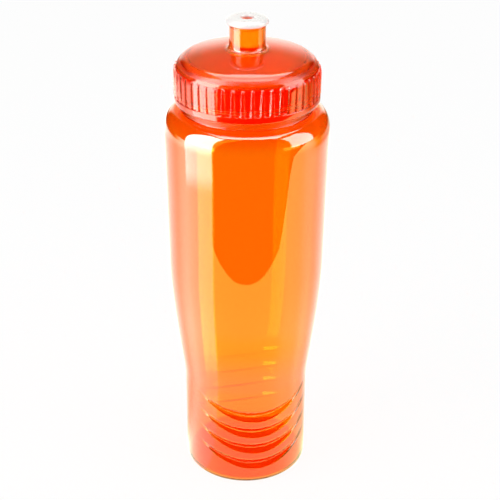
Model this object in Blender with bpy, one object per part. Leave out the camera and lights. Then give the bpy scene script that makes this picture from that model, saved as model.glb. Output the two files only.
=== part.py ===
"""A sports squeeze bottle: a tinted bottle with finger grooves, a ribbed screw lid and a push-pull nozzle.

The bottle stands on z = 0 with its axis on Z. The finger grooves face -Y and +Y.
"""

import math

import bmesh
import bpy
from mathutils import Vector

MM = 0.001

# Bottle body
GRIP_RADIUS = 32.6 * MM
WAIST_RADIUS = 40.0 * MM
BODY_RADIUS = 41.0 * MM
GRIP_HEIGHT = 56.0 * MM
TAPER_HEIGHT = 66.0 * MM
BARREL_HEIGHT = 72.0 * MM
SHOULDER_HEIGHT = 11.5 * MM
TAPER_POWER = 1.55
GRIP_BLEND = 0.8 * MM
SHOULDER_FULLNESS = 2.4
BODY_WALL = 0.8 * MM

# Bottle base
BASE_ROUND = 2.5 * MM
BASE_LAND = 2.6 * MM
BASE_PUSH_UP = 4.0 * MM
BASE_WALL = 1.2 * MM

# Finger grooves, pressed into the front and the back of the grip
GROOVE_COUNT = 4
GROOVE_PITCH = 10.2 * MM
GROOVE_LOWEST_CREST = 9.2 * MM
GROOVE_WIDTH = 6.1 * MM
GROOVE_DEPTH = 2.0 * MM
GROOVE_RISE = 14.7 * MM
GROOVE_HALF_SPAN = math.radians(66)
GROOVE_TIP_SHARE = 0.25

# Neck and its thread
NECK_RADIUS = 31.9 * MM
NECK_HEIGHT = 17.2 * MM
NECK_WALL = 1.9 * MM
NECK_FILLET = 1.2 * MM
RIM_CHAMFER = 0.4 * MM
THREAD_PITCH = 4.8 * MM
THREAD_TURNS = 1.25
THREAD_DEPTH = 1.3 * MM
THREAD_ROOT_WIDTH = 2.2 * MM
THREAD_CREST_WIDTH = 1.0 * MM
THREAD_BELOW_RIM = 10.1 * MM
THREAD_RADIAL_GAP = 0.4 * MM
THREAD_FLANK_GAP = 0.4 * MM
THREAD_ROOT_SINK = 0.5 * MM
THREAD_RUN_OUT = math.radians(35)

# Sealing ring between the rim and the lid
GASKET_THICKNESS = 1.6 * MM
SEAT_GAP = 0.3 * MM

# Screw lid
LID_WALL = 1.6 * MM
LID_SKIRT_DEPTH = 15.8 * MM
LID_BEAD_HEIGHT = 3.4 * MM
LID_BEAD_HEIGHT_ABOVE_WALL = 0.6 * MM
LID_EDGE_RADIUS = 7.5 * MM
LID_EDGE_HEIGHT = 8.5 * MM
LID_EDGE_SWEEP = math.radians(76)
LID_EDGE_FULLNESS = 2.0
LID_SEAT_BELOW_EDGE = -2.3 * MM
DOME_RIM_SLOPE = 0.29
DOME_FOOT_SLOPE = 0.11
LID_DOME_WALL = 1.8 * MM
PLUG_FIN_WALL = 0.8 * MM
PLUG_FIN_DEPTH = 3.6 * MM
RIB_COUNT = 48
RIB_HEIGHT = 0.75 * MM
RIB_FOOT_WIDTH = 2.5 * MM
RIB_CREST_WIDTH = 1.2 * MM
RIB_LENGTH = 13.2 * MM
RIB_TOP_WIDTH_SHARE = 0.7

# Spout tower and the valve pin inside it
TOWER_RADIUS = 8.8 * MM
TOWER_WALL = 1.4 * MM
TOWER_HEIGHT = 11.8 * MM
TOWER_FILLET = 1.9 * MM
TOWER_LIP = 0.6 * MM
TOWER_LIP_HEIGHT = 1.2 * MM
COLLAR_DEPTH = 2.6 * MM
PIN_RADIUS = 3.4 * MM
PIN_TIP_BELOW_NOZZLE_TOP = 0.8 * MM
SPOKE_COUNT = 4
SPOKE_WIDTH = 1.6 * MM
SPOKE_HEIGHT = 2.2 * MM

# Push-pull nozzle
NOZZLE_GAP = 0.3 * MM
NOZZLE_HEAD_RADIUS = 10.3 * MM
NOZZLE_HEAD_HEIGHT = 3.0 * MM
NOZZLE_TOP_RADIUS = 7.2 * MM
NOZZLE_WALL = 1.5 * MM
NOZZLE_HOLE_RADIUS = 3.2 * MM
NOZZLE_BEAD = 0.55 * MM
NOZZLE_BEAD_HEIGHT = 1.5 * MM
NOZZLE_TRAVEL = 7.0 * MM

# Facets round the axis
COLUMNS = 48
SPOUT_COLUMNS = 24

# Heights that follow from the sizes above
TAPER_TOP = GRIP_HEIGHT + TAPER_HEIGHT
SHOULDER_BOTTOM = TAPER_TOP + BARREL_HEIGHT
SHOULDER_TOP = SHOULDER_BOTTOM + SHOULDER_HEIGHT
RIM_TOP = SHOULDER_TOP + NECK_FILLET + NECK_HEIGHT
GASKET_BOTTOM = RIM_TOP + SEAT_GAP
LID_SEAT = GASKET_BOTTOM + GASKET_THICKNESS + SEAT_GAP
LID_BOTTOM = LID_SEAT - LID_SKIRT_DEPTH
LID_EDGE_BOTTOM = LID_SEAT + LID_SEAT_BELOW_EDGE
LID_BORE = NECK_RADIUS + THREAD_DEPTH + THREAD_RADIAL_GAP
LID_RADIUS = LID_BORE + LID_WALL
EDGE_CENTRE = LID_RADIUS - LID_EDGE_RADIUS
DOME_RIM_RADIUS = EDGE_CENTRE + LID_EDGE_RADIUS * math.cos(LID_EDGE_SWEEP) ** (2 / LID_EDGE_FULLNESS)
DOME_RIM = LID_EDGE_BOTTOM + LID_EDGE_HEIGHT * math.sin(LID_EDGE_SWEEP) ** (2 / LID_EDGE_FULLNESS)
TOWER_FOOT = TOWER_RADIUS + TOWER_FILLET
DOME_SPAN = DOME_RIM_RADIUS - TOWER_FOOT
DOME_TOP = DOME_RIM + DOME_SPAN * (DOME_RIM_SLOPE + DOME_FOOT_SLOPE) / 2
TOWER_TOP = DOME_TOP + TOWER_HEIGHT
TOWER_BORE = TOWER_RADIUS - TOWER_WALL
COLLAR_BOTTOM = DOME_TOP - LID_DOME_WALL - COLLAR_DEPTH
NOZZLE_BOTTOM_OF_HEAD = TOWER_TOP + NOZZLE_GAP
NOZZLE_TOP = NOZZLE_BOTTOM_OF_HEAD + NOZZLE_HEAD_HEIGHT
STEM_RADIUS = TOWER_BORE - TOWER_LIP - NOZZLE_GAP
LIP_BOTTOM = TOWER_TOP - TOWER_LIP_HEIGHT
STEM_BEAD_TOP = LIP_BOTTOM - NOZZLE_TRAVEL - NOZZLE_GAP
STEM_BOTTOM = STEM_BEAD_TOP - NOZZLE_BEAD_HEIGHT


def clear_scene():
    for thing in list(bpy.data.objects):
        bpy.data.objects.remove(thing)


def plastic(name, colour, roughness, transmission):
    """A moulded plastic with no metal in it."""
    material = bpy.data.materials.new(name)
    material.use_nodes = True
    shader = material.node_tree.nodes["Principled BSDF"]
    shader.inputs["Base Color"].default_value = (*colour, 1.0)
    shader.inputs["Roughness"].default_value = roughness
    shader.inputs["Metallic"].default_value = 0.0
    shader.inputs["Transmission Weight"].default_value = transmission
    return material


def add_object(name, mesh_builder, material=None):
    """A new object from a bmesh, shaded smooth with crisp corners."""
    mesh = bpy.data.meshes.new(name)
    mesh_builder.to_mesh(mesh)
    mesh_builder.free()
    thing = bpy.data.objects.new(name, mesh)
    bpy.context.scene.collection.objects.link(thing)
    if material:
        mesh.materials.append(material)
    mesh.shade_smooth()
    mesh.set_sharp_from_angle(angle=math.radians(35))
    return thing


def hide_helper(thing):
    thing.hide_render = True
    thing.display_type = "WIRE"


def add_boolean(target, other, operation):
    modifier = target.modifiers.new(other.name, "BOOLEAN")
    modifier.operation = operation
    modifier.solver = "EXACT"
    modifier.object = other
    hide_helper(other)


def circle(radius, z, columns, start=0.0):
    """Points of a level ring, counter-clockwise from above. A ring of no radius is one point."""
    if radius == 0.0:
        return [Vector((0.0, 0.0, z))]
    angles = [start + math.tau * i / columns for i in range(columns)]
    return [Vector((radius * math.cos(a), radius * math.sin(a), z)) for a in angles]


def join_rings(builder, lower, upper):
    """Faces between two rings, where one may be a single point or hold a multiple of the other's points."""
    coarse, fine = (lower, upper) if len(lower) <= len(upper) else (upper, lower)
    step = len(fine) // len(coarse)
    half = step // 2
    for i, first in enumerate(coarse):
        second = coarse[(i + 1) % len(coarse)]
        chain = [fine[(i * step + k) % len(fine)] for k in range(step + 1)]
        if step == 1:
            faces = [[first, second, chain[1], chain[0]]]
        else:
            faces = [[first if k < half else second, chain[k + 1], chain[k]] for k in range(step)]
            if second is not first:
                faces.append([first, second, chain[half]])
        for face in faces:
            builder.faces.new(face if coarse is lower else face[::-1])


def loft(rings, closed):
    """A skin through rings that run up the outside and down the inside, joined end to end if it is closed."""
    builder = bmesh.new()
    rows = [[builder.verts.new(point) for point in ring] for ring in rings]
    pairs = list(zip(rows, rows[1:])) + ([(rows[-1], rows[0])] if closed else [])
    for lower, upper in pairs:
        join_rings(builder, lower, upper)
    return builder


def spin(profile, columns, closed):
    """A turned solid from a profile of (radius, z) points that runs up the outside and down the inside."""
    builder = bmesh.new()
    points = [builder.verts.new((radius, 0.0, z)) for radius, z in profile]
    edges = [builder.edges.new(pair) for pair in zip(points, points[1:])]
    if closed:
        edges.append(builder.edges.new((points[-1], points[0])))
    bmesh.ops.spin(
        builder,
        geom=points + edges,
        axis=(0.0, 0.0, 1.0),
        cent=(0.0, 0.0, 0.0),
        steps=columns,
        angle=math.tau,
        use_merge=True,
    )
    bmesh.ops.remove_doubles(builder, verts=builder.verts, dist=1e-6)
    bmesh.ops.recalc_face_normals(builder, faces=builder.faces)
    return builder


def eased(value, fullness):
    """A sine or cosine drawn out so that an arc swells beyond an ellipse, which has a fullness of 2."""
    return math.copysign(abs(value) ** (2 / fullness), value)


def arc(centre_radius, centre_z, across, up, first, last, steps, fullness=2.0):
    """Points of an arc in a profile, from one angle above the horizontal to another."""
    angles = [first + (last - first) * i / steps for i in range(steps + 1)]
    return [
        (centre_radius + across * eased(math.cos(a), fullness), centre_z + up * eased(math.sin(a), fullness))
        for a in angles
    ]


def helical_thread(root_radius, crest_radius, start_z, turns):
    """A trapezoid thread wound up a helix, thinning to nothing at both ends."""
    steps = round(turns * COLUMNS)
    sweep = math.tau * turns
    sink = math.copysign(THREAD_ROOT_SINK, root_radius - crest_radius)
    sections = []
    for i in range(steps + 1):
        angle = sweep * i / steps
        run_out = min(1.0, angle / THREAD_RUN_OUT, (sweep - angle) / THREAD_RUN_OUT)
        crest = root_radius + (crest_radius - root_radius) * max(run_out, 0.0)
        middle = start_z + THREAD_PITCH * angle / math.tau
        corners = [
            (root_radius + sink, -THREAD_ROOT_WIDTH / 2),
            (crest, -THREAD_CREST_WIDTH / 2),
            (crest, THREAD_CREST_WIDTH / 2),
            (root_radius + sink, THREAD_ROOT_WIDTH / 2),
        ]
        turn = angle + math.pi / COLUMNS
        sections.append(
            [Vector((r * math.cos(turn), r * math.sin(turn), middle + z)) for r, z in corners]
        )
    builder = bmesh.new()
    rows = [[builder.verts.new(point) for point in section] for section in sections]
    for first, second in zip(rows, rows[1:]):
        for i in range(4):
            builder.faces.new([first[i], first[(i + 1) % 4], second[(i + 1) % 4], second[i]])
    builder.faces.new(rows[0])
    builder.faces.new(rows[-1])
    bmesh.ops.recalc_face_normals(builder, faces=builder.faces)
    return builder


def body_radius(z):
    """The bottle's plain outer radius up to the shoulder, with a soft bend where the taper meets the grip."""
    if z <= TAPER_TOP:
        below = (TAPER_TOP - z) / TAPER_HEIGHT
        plain = WAIST_RADIUS - (WAIST_RADIUS - GRIP_RADIUS) * below**TAPER_POWER
    else:
        above = (z - TAPER_TOP) / BARREL_HEIGHT
        plain = WAIST_RADIUS + (BODY_RADIUS - WAIST_RADIUS) * above
    over = plain - GRIP_RADIUS
    return GRIP_RADIUS + (over + math.hypot(over, GRIP_BLEND)) / 2


def groove_row(crest_height, across, depth_share, wall):
    """One ring along a finger groove: across runs from 0 at its crest to 1 at its upper edge."""
    points = []
    for i in range(COLUMNS):
        angle = math.tau * i / COLUMNS
        off_centre = abs(math.asin(math.cos(angle)))
        reach = min(off_centre / GROOVE_HALF_SPAN, 1.0)
        fade = (1.0 - reach * reach) ** 2
        width = GROOVE_WIDTH * (fade + GROOVE_TIP_SHARE * (1.0 - fade))
        rise = GROOVE_RISE * (1.0 - math.cos(reach * GROOVE_HALF_SPAN))
        z = crest_height + GROOVE_WIDTH + rise - width * (1.0 - across)
        radius = body_radius(z) - GROOVE_DEPTH * depth_share * fade - wall
        points.append(Vector((radius * math.cos(angle), radius * math.sin(angle), z)))
    return points


def grip_rows(wall):
    """The rings of all the finger grooves from the lowest up: crest, ledge foot, root and upper edge."""
    rows = []
    for i in range(GROOVE_COUNT):
        crest_height = GROOVE_LOWEST_CREST + i * GROOVE_PITCH
        for across, depth_share in ((0.0, 0.0), (0.34, 0.92), (0.46, 1.0), (1.0, 0.0)):
            rows.append(groove_row(crest_height, across, depth_share, wall))
    return rows


def taper_rows(wall):
    """Rings up the tapered side, from the top of the grip to the shoulder's lower edge."""
    shares = (0.0, 0.07, 0.25, 0.45, 0.7, 1.0)
    heights = [GRIP_HEIGHT + TAPER_HEIGHT * share for share in shares] + [SHOULDER_BOTTOM]
    return [circle(body_radius(z) - wall, z, COLUMNS) for z in heights]


def base_rows():
    """Rings of the underside: the push-up, the flat land that the bottle stands on and the rounded heel."""
    land_outer = GRIP_RADIUS - BASE_ROUND
    land_inner = land_outer - BASE_LAND
    profile = [
        (0.0, BASE_PUSH_UP),
        (land_inner * 0.55, BASE_PUSH_UP * 0.82),
        (land_inner * 0.9, BASE_PUSH_UP * 0.28),
        (land_inner, 0.0),
    ]
    profile += arc(land_outer, BASE_ROUND, BASE_ROUND, BASE_ROUND, -math.pi / 2, 0.0, 3)
    return profile


def make_bottle(material):
    outer_base = base_rows()
    rings = [circle(r, z, COLUMNS) for r, z in outer_base]
    rings += grip_rows(0.0)
    rings += taper_rows(0.0)
    shoulder_reach = BODY_RADIUS - NECK_RADIUS - NECK_FILLET
    shoulder = arc(
        NECK_RADIUS + NECK_FILLET,
        SHOULDER_BOTTOM,
        shoulder_reach,
        SHOULDER_HEIGHT,
        0.0,
        math.pi / 2,
        5,
        SHOULDER_FULLNESS,
    )
    bore = NECK_RADIUS - NECK_WALL
    neck = [
        (NECK_RADIUS, SHOULDER_TOP + NECK_FILLET),
        (NECK_RADIUS, RIM_TOP - RIM_CHAMFER),
        (NECK_RADIUS - RIM_CHAMFER, RIM_TOP),
        (bore + RIM_CHAMFER, RIM_TOP),
        (bore, RIM_TOP - RIM_CHAMFER),
        (bore, SHOULDER_TOP),
    ]
    inside = arc(
        bore,
        SHOULDER_BOTTOM,
        BODY_RADIUS - BODY_WALL - bore,
        SHOULDER_HEIGHT - BODY_WALL,
        math.pi / 2,
        0.0,
        4,
        SHOULDER_FULLNESS,
    )
    rings += [circle(r, z, COLUMNS) for r, z in shoulder[1:] + neck + inside[1:-1]]
    rings += reversed(taper_rows(BODY_WALL))
    rings += reversed(grip_rows(BODY_WALL))
    heel = GRIP_RADIUS - BASE_ROUND
    inner_heel = BASE_ROUND - BODY_WALL
    rings += [
        circle(r, z, COLUMNS)
        for r, z in arc(heel, BASE_ROUND + BASE_WALL, inner_heel, BASE_ROUND, 0.0, -math.pi / 2, 2)
    ]
    rings += [circle(r, z + BASE_WALL, COLUMNS) for r, z in reversed(outer_base[:3])]
    bottle = add_object("bottle", loft(rings, closed=False), material)
    thread_start = RIM_TOP - THREAD_BELOW_RIM
    thread = helical_thread(NECK_RADIUS, NECK_RADIUS + THREAD_DEPTH, thread_start, THREAD_TURNS)
    add_boolean(bottle, add_object("neck_thread", thread), "UNION")
    return bottle


def make_gasket(material):
    inner = NECK_RADIUS - NECK_WALL
    outer = NECK_RADIUS
    top = GASKET_BOTTOM + GASKET_THICKNESS
    profile = [(outer, GASKET_BOTTOM), (outer, top), (inner, top), (inner, GASKET_BOTTOM)]
    return add_object("lid_gasket", spin(profile, COLUMNS, closed=True), material)


def lid_wall_radius(z):
    """The lid's plain outer radius, round its edge as well as up its straight wall."""
    above = max(0.0, (z - LID_EDGE_BOTTOM) / LID_EDGE_HEIGHT)
    return EDGE_CENTRE + LID_EDGE_RADIUS * (1.0 - above**LID_EDGE_FULLNESS) ** (1 / LID_EDGE_FULLNESS)


def dome_height(radius):
    """Height of the dome's outer face, which gets flatter from its rim to the tower."""
    inward = (DOME_RIM_RADIUS - radius) / DOME_SPAN
    flattening = (DOME_RIM_SLOPE - DOME_FOOT_SLOPE) / 2
    return DOME_RIM + DOME_SPAN * (DOME_RIM_SLOPE * inward - flattening * inward**2)


def rib_ring(z, height_share, width_share):
    """A ring round the skirt with four points for each rib: its foot, its crest and its other foot."""
    radius = lid_wall_radius(z)
    crest = radius + RIB_HEIGHT * height_share
    foot_half = RIB_FOOT_WIDTH * width_share / 2
    crest_half = RIB_CREST_WIDTH * width_share / 2
    across = ((-foot_half, radius), (-crest_half, crest), (crest_half, crest), (foot_half, radius))
    points = []
    for i in range(RIB_COUNT):
        for offset, r in across:
            angle = math.tau * i / RIB_COUNT + offset / LID_RADIUS
            points.append(Vector((r * math.cos(angle), r * math.sin(angle), z)))
    return points


def lid_rings():
    """The lid's skin: up the bead, the ribs, the dome and the tower, then down the bore and the underside."""
    start = -RIB_FOOT_WIDTH / 2 / LID_RADIUS
    wall_foot = LID_BOTTOM + LID_BEAD_HEIGHT
    bead = LID_RADIUS + LID_BEAD_HEIGHT_ABOVE_WALL
    bead_round = LID_BEAD_HEIGHT_ABOVE_WALL
    skirt = [
        (LID_BORE, LID_BOTTOM),
        (bead - bead_round, LID_BOTTOM),
        (bead, LID_BOTTOM + bead_round),
        (bead, wall_foot - bead_round),
        (LID_RADIUS, wall_foot),
    ]
    rib_top = wall_foot + RIB_LENGTH
    rib_end = max(0.0, (rib_top - LID_EDGE_BOTTOM) / LID_EDGE_HEIGHT)
    edge_start = math.asin(rib_end ** (LID_EDGE_FULLNESS / 2))
    edge = arc(
        EDGE_CENTRE,
        LID_EDGE_BOTTOM,
        LID_EDGE_RADIUS,
        LID_EDGE_HEIGHT,
        edge_start,
        LID_EDGE_SWEEP,
        3,
        LID_EDGE_FULLNESS,
    )
    dome_radii = [DOME_RIM_RADIUS - DOME_SPAN * share for share in (0.3, 0.65)]
    dome = [(r, dome_height(r)) for r in dome_radii]
    foot_tilt = math.atan(DOME_FOOT_SLOPE)
    fillet_foot = dome_height(TOWER_FOOT - TOWER_FILLET * math.sin(foot_tilt))
    fillet_z = fillet_foot + TOWER_FILLET * math.cos(foot_tilt)
    fillet = arc(TOWER_FOOT, fillet_z, TOWER_FILLET, TOWER_FILLET, 1.5 * math.pi - foot_tilt, math.pi, 3)
    rings = [circle(r, z, RIB_COUNT, start) for r, z in skirt]
    rings += [
        rib_ring(wall_foot + RIB_LENGTH * share, height, 1.0 - (1.0 - RIB_TOP_WIDTH_SHARE) * share)
        for share, height in ((0.015, 0.0), (0.04, 1.0), (0.86, 1.0), (0.96, 0.7), (0.999, 0.0))
    ]
    rings += [circle(r, z, RIB_COUNT, start) for r, z in edge[1:] + dome]
    chamfer = TOWER_LIP / 2
    lip = TOWER_BORE - TOWER_LIP
    tower = [
        (TOWER_RADIUS, TOWER_TOP - chamfer),
        (TOWER_RADIUS - chamfer, TOWER_TOP),
        (lip + chamfer, TOWER_TOP),
        (lip, TOWER_TOP - chamfer),
        (lip, LIP_BOTTOM + chamfer),
        (TOWER_BORE, LIP_BOTTOM - chamfer),
        (TOWER_BORE, COLLAR_BOTTOM),
        (TOWER_RADIUS, COLLAR_BOTTOM),
        (TOWER_RADIUS, DOME_TOP - LID_DOME_WALL),
    ]
    rings += [circle(r, z, SPOUT_COLUMNS, start) for r, z in fillet + tower]
    fin_outer = NECK_RADIUS - NECK_WALL - THREAD_RADIAL_GAP
    fin_inner = fin_outer - PLUG_FIN_WALL
    fin_bottom = LID_SEAT - PLUG_FIN_DEPTH
    fin_top = dome_height(fin_inner) - LID_DOME_WALL
    corner = LID_WALL * 0.8
    underside = [(r, z - LID_DOME_WALL) for r, z in dome[::-1]]
    underside += [
        (fin_inner - PLUG_FIN_WALL, fin_top),
        (fin_inner, fin_top - PLUG_FIN_WALL),
        (fin_inner, fin_bottom),
        (fin_outer, fin_bottom),
        (fin_outer, LID_SEAT),
        (LID_BORE - corner, LID_SEAT),
        (LID_BORE, LID_SEAT - corner * 1.6),
    ]
    rings += [circle(r, z, RIB_COUNT, start) for r, z in underside]
    return rings


def make_valve_pin():
    """The pin that plugs the nozzle's hole, with the spokes that carry it."""
    seal_radius = NOZZLE_HOLE_RADIUS - NOZZLE_GAP
    tip = NOZZLE_TOP - PIN_TIP_BELOW_NOZZLE_TOP
    neck = NOZZLE_BOTTOM_OF_HEAD - NOZZLE_GAP
    profile = [
        (0.0, COLLAR_BOTTOM),
        (PIN_RADIUS, COLLAR_BOTTOM + SPOKE_HEIGHT / 3),
        (PIN_RADIUS, neck - (PIN_RADIUS - seal_radius) * 2),
        (seal_radius, neck),
        (seal_radius, tip - seal_radius / 4),
        (seal_radius * 0.75, tip),
        (0.0, tip),
    ]
    pin = add_object("valve_pin", spin(profile, SPOUT_COLUMNS, closed=False))
    for i in range(SPOKE_COUNT // 2):
        builder = bmesh.new()
        bmesh.ops.create_cube(builder, size=1.0)
        length = 2 * (TOWER_BORE + TOWER_WALL / 2)
        bmesh.ops.scale(builder, vec=(length, SPOKE_WIDTH, SPOKE_HEIGHT), verts=builder.verts)
        spokes = add_object(f"valve_spokes_{i}", builder)
        spokes.location.z = COLLAR_BOTTOM + SPOKE_HEIGHT / 2 + SEAT_GAP
        spokes.rotation_euler.z = math.tau * i / SPOKE_COUNT + math.pi / SPOKE_COUNT
        add_boolean(pin, spokes, "UNION")
    return pin


def make_lid(material):
    lid = add_object("screw_lid", loft(lid_rings(), closed=True), material)
    middle_width = (THREAD_ROOT_WIDTH + THREAD_CREST_WIDTH) / 2
    below_neck_thread = middle_width + THREAD_FLANK_GAP
    thread_start = RIM_TOP - THREAD_BELOW_RIM - below_neck_thread
    thread = helical_thread(LID_BORE, LID_BORE - THREAD_DEPTH, thread_start, THREAD_TURNS)
    add_boolean(lid, add_object("lid_thread", thread), "UNION")
    add_boolean(lid, make_valve_pin(), "UNION")
    return lid


def make_nozzle(material):
    round_edge = NOZZLE_HEAD_HEIGHT / 3
    stem_bore = STEM_RADIUS - NOZZLE_WALL
    bead = STEM_RADIUS + NOZZLE_BEAD
    ceiling = NOZZLE_BOTTOM_OF_HEAD + NOZZLE_GAP
    profile = [
        (stem_bore, STEM_BOTTOM),
        (STEM_RADIUS, STEM_BOTTOM),
        (bead, STEM_BOTTOM + NOZZLE_BEAD_HEIGHT * 0.6),
        (bead, STEM_BEAD_TOP),
        (STEM_RADIUS, STEM_BEAD_TOP + NOZZLE_BEAD * 0.4),
        (STEM_RADIUS, NOZZLE_BOTTOM_OF_HEAD),
        (NOZZLE_HEAD_RADIUS - round_edge, NOZZLE_BOTTOM_OF_HEAD),
    ]
    profile += arc(
        NOZZLE_TOP_RADIUS,
        NOZZLE_BOTTOM_OF_HEAD + round_edge,
        NOZZLE_HEAD_RADIUS - NOZZLE_TOP_RADIUS,
        NOZZLE_HEAD_HEIGHT - round_edge,
        0.0,
        math.pi / 2,
        3,
    )
    profile += [
        (NOZZLE_HOLE_RADIUS + round_edge / 3, NOZZLE_TOP),
        (NOZZLE_HOLE_RADIUS, NOZZLE_TOP - round_edge / 3),
        (NOZZLE_HOLE_RADIUS, ceiling),
        (stem_bore, ceiling - (stem_bore - NOZZLE_HOLE_RADIUS) * 0.3),
    ]
    return add_object("push_pull_nozzle", spin(profile, SPOUT_COLUMNS, closed=True), material)


def main():
    clear_scene()
    tint = (0.975, 0.374, 0.04)
    make_bottle(plastic("tinted_bottle_plastic", tint, 0.05, 1.0))
    make_gasket(plastic("clear_silicone", (0.92, 0.9, 0.88), 0.35, 0.5))
    make_lid(plastic("tinted_lid_plastic", tint, 0.08, 1.0))
    make_nozzle(plastic("white_nozzle_plastic", (0.93, 0.92, 0.91), 0.35, 0.0))


main()
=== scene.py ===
# %% [markdown]
# # A clear orange squeeze bottle
#
# This lesson dresses a packed CAD model of a sports bottle. The CAD has four pieces: the bottle, a sealing
# ring, a ribbed screw lid and a push-pull nozzle. The CAD is faceted, and clear plastic shows every facet,
# so each piece is modelled again here with many more rows, in the same place and to the same sizes. We
# start by loading the frame, whose box the finer pieces must not outgrow.

# %% Load the frame
import math

import bpy
import numpy as np
from mathutils import Matrix, Vector
from mathutils.kdtree import KDTree


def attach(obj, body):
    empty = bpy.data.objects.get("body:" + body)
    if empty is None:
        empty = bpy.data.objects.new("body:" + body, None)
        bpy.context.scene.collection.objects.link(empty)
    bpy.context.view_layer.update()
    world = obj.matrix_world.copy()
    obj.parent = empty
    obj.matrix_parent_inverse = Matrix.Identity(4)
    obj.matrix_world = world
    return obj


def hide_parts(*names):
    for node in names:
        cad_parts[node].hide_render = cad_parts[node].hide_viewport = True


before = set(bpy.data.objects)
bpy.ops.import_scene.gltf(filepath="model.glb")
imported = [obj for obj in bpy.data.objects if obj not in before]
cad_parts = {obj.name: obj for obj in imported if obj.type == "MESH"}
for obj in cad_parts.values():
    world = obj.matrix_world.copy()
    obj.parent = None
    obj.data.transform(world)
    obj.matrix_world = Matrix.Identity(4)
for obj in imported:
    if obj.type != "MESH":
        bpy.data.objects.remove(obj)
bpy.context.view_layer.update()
MM = 0.001

# %% [markdown]
# ## The camera
#
# The photo looks down on the bottle from a little to the left of its finger grooves. The ellipses of the
# lid and of the base give the lens: the lower ones are much rounder, so the camera is close, a bit over
# half a metre from the axis. The outline narrows downwards too, but the bottle's own taper is mixed into
# that.

# %% Place the camera
CAMERA_TURN = math.radians(12.0)
CAMERA_PITCH = math.radians(28.0)
CAMERA_ROLL = math.radians(0.35)
CAMERA_AWAY = 573.8 * MM
CAMERA_HEIGHT = 431.1 * MM
CAMERA_ASIDE = 1.9 * MM

camera_data = bpy.data.cameras.new("photo_camera")
camera_data.sensor_width = 36.0
camera_data.lens = 90.0
camera = bpy.data.objects.new("photo_camera", camera_data)
bpy.context.scene.collection.objects.link(camera)
heading = Matrix.Rotation(-CAMERA_TURN, 4, "Z")
tilt = Matrix.Rotation(math.pi / 2 - CAMERA_PITCH, 4, "X") @ Matrix.Rotation(CAMERA_ROLL, 4, "Z")
camera.matrix_world = heading @ Matrix.Translation((CAMERA_ASIDE, -CAMERA_AWAY, CAMERA_HEIGHT)) @ tilt
bpy.context.scene.camera = camera
print("camera at", [round(c, 3) for c in camera.location])

# %% [markdown]
# ## Turning a profile
#
# Every piece of this bottle is round, so every piece starts as half a cross-section. One vertex is extruded
# from point to point, as a pencil would draw the section, and the line is then spun round the axis. A screw
# modifier could turn it too, but the spin leaves a plain mesh whose rows can be reshaped.

# %% Draw and spin a profile
SEAM = 0.002 * MM


def draw_profile(name, rows, angle=0.0):
    """A line of vertices through the rows, in the half plane at that angle, left in edit mode. A row is
    (radius, z), or (radius, z, shape) where the shape's radius, z and angle follow a rule."""
    turn = Matrix.Rotation(angle, 3, "Z")
    points = [turn @ Vector((radius, 0.0, z)) for radius, z, *_ in rows]
    bpy.ops.object.select_all(action="DESELECT")
    bpy.ops.mesh.primitive_plane_add(size=MM, location=points[0])
    piece = bpy.context.object
    piece.name = name
    piece.data.name = name
    bpy.ops.object.transform_apply(location=True, rotation=True, scale=True)
    bpy.ops.object.mode_set(mode="EDIT")
    bpy.ops.mesh.select_all(action="SELECT")
    bpy.ops.mesh.merge(type="CENTER")
    for before, after in zip(points, points[1:]):
        bpy.ops.mesh.extrude_vertices_move(TRANSFORM_OT_translate={"value": after - before})
    return piece


def spin_all(steps, sweep=math.tau, copies=False):
    """Spins the mesh in edit mode round the axis, as a skin or as copies, and closes its seams."""
    bpy.ops.mesh.select_all(action="SELECT")
    bpy.ops.mesh.spin(steps=steps, angle=sweep, dupli=copies, center=(0.0, 0.0, 0.0), axis=(0.0, 0.0, 1.0))
    bpy.ops.mesh.select_all(action="SELECT")
    bpy.ops.mesh.remove_doubles(threshold=SEAM)
    bpy.ops.mesh.normals_make_consistent(inside=False)


print("seams close within", SEAM / MM, "mm")

# %% [markdown]
# ## Pressing and finishing
#
# Grooves, threads and ribs get into a turned wall without cutting it, which keeps the mesh clean for glass.
# A row can carry a rule for where it runs at each angle. Its vertices are found again by their distance
# from the axis and their height, and move there, as a mould presses a soft wall. The finished piece takes
# the place of its CAD node.

# %% Press rows and finish a piece
SMOOTH_ANGLE = 50


def press_rows(piece, rows):
    """Moves the vertices of each shaped row to where its shape says."""
    bpy.ops.object.mode_set(mode="OBJECT")
    nearest = KDTree(len(rows))
    for i, (radius, z, *_) in enumerate(rows):
        nearest.insert((radius, z, 0.0), i)
    nearest.balance()
    moved = 0
    for vertex in piece.data.vertices:
        x, y, z = vertex.co
        for shape in rows[nearest.find((math.hypot(x, y), z, 0.0))[1]][2:]:
            radius, z, angle = shape(math.atan2(y, x))
            vertex.co = (radius * math.cos(angle), radius * math.sin(angle), z)
            moved += 1
    piece.data.update()
    return moved


def choose(piece):
    """Leaves edit mode, with only this piece selected and active."""
    bpy.ops.object.mode_set(mode="OBJECT")
    bpy.ops.object.select_all(action="DESELECT")
    piece.select_set(True)
    bpy.context.view_layer.objects.active = piece


def finish_piece(piece, body, node, smooth=SMOOTH_ANGLE):
    """Smooth shading up to an angle in degrees, and the piece takes its CAD node's place on its body."""
    choose(piece)
    bpy.ops.object.shade_smooth_by_angle(angle=math.radians(smooth))
    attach(piece, body)
    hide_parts(node)
    triangles = sum(len(face.vertices) - 2 for face in piece.data.polygons)
    print(piece.name, "has", triangles, "triangles")


print("edges of less than", SMOOTH_ANGLE, "degrees are shaded smooth")

# %% [markdown]
# ## Arcs and lines
#
# A moulding has no sharp corners, so its section is mostly arcs, with straight lines between them. A curve
# tool could draw them by hand, but two small functions give the same points every time.

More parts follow.
